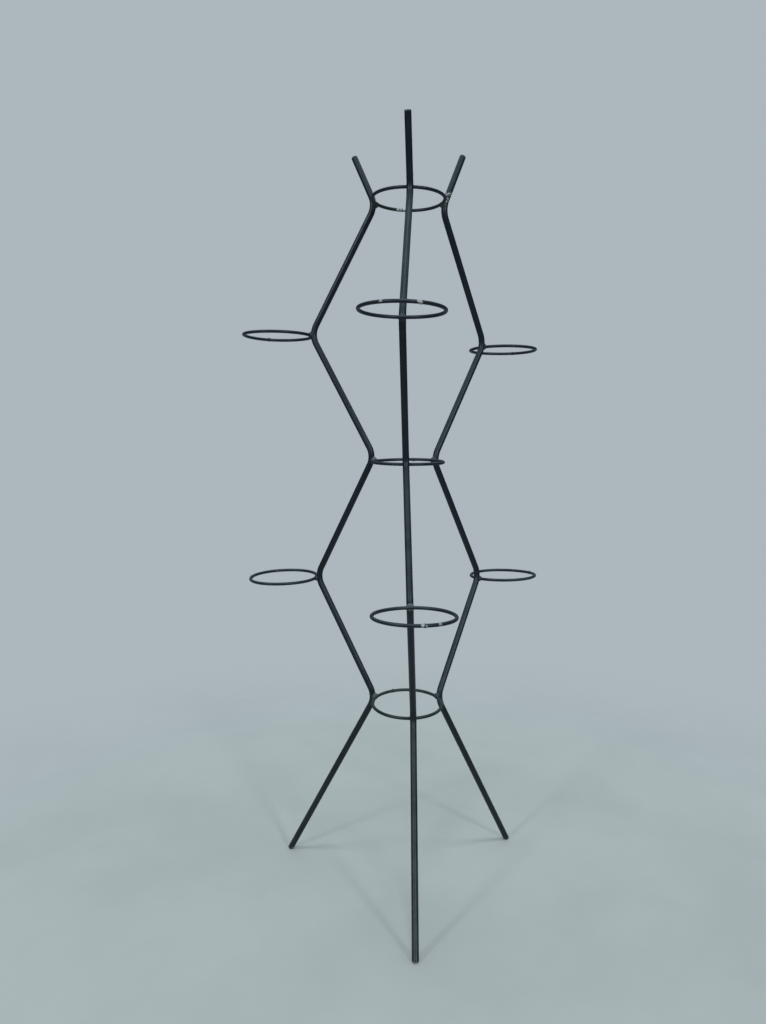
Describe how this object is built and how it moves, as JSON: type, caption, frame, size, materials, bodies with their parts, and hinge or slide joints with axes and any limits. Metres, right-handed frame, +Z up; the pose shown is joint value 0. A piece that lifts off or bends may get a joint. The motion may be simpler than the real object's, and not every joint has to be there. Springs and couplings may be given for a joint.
{
  "type": "garden obelisk",
  "caption": "Free-standing zigzag steel bar garden obelisk: splayed legs tied by wire rings, with wire rings welded outside the bends to hold plant pots.",
  "frame": {"origin": "on the floor under the middle of the stand's overall box; the axis through the tie rings is about 15 mm to the right of it and 53 mm behind it", "axes": "+Z up the stand, -Y towards the front leg, +X to the right seen from the front"},
  "size_m": [0.6056, 0.573, 1.4094],
  "materials": {
    "leg_paint": "satin black paint on round steel bar, with a faint blue-green cast",
    "ring_paint": "satin black paint on steel wire",
    "weld_paint": "thin black paint over rough weld metal, greyer than the bars"
  },
  "bodies": {
    "root": {"leg_front": "leg_paint", "leg_right": "leg_paint", "leg_left": "leg_paint", "tie_ring_top": "ring_paint", "tie_seam_top": "weld_paint", "tie_weld_top_front": "weld_paint", "tie_weld_top_right": "weld_paint", "tie_weld_top_left": "weld_paint", "tie_ring_middle": "ring_paint", "tie_seam_middle": "weld_paint", "tie_weld_middle_front": "weld_paint", "tie_weld_middle_right": "weld_paint", "tie_weld_middle_left": "weld_paint", "tie_ring_bottom": "ring_paint", "tie_seam_bottom": "weld_paint", "tie_weld_bottom_front": "weld_paint", "tie_weld_bottom_right": "weld_paint", "tie_weld_bottom_left": "weld_paint", "pot_ring_upper_front": "ring_paint", "pot_seam_upper_front": "weld_paint", "pot_weld_upper_front": "weld_paint", "pot_ring_upper_right": "ring_paint", "pot_seam_upper_right": "weld_paint", "pot_weld_upper_right": "weld_paint", "pot_ring_upper_left": "ring_paint", "pot_seam_upper_left": "weld_paint", "pot_weld_upper_left": "weld_paint", "pot_ring_lower_front": "ring_paint", "pot_seam_lower_front": "weld_paint", "pot_weld_lower_front": "weld_paint", "pot_ring_lower_right": "ring_paint", "pot_seam_lower_right": "weld_paint", "pot_weld_lower_right": "weld_paint", "pot_ring_lower_left": "ring_paint", "pot_seam_lower_left": "weld_paint", "pot_weld_lower_left": "weld_paint"}
  },
  "joints": []
}
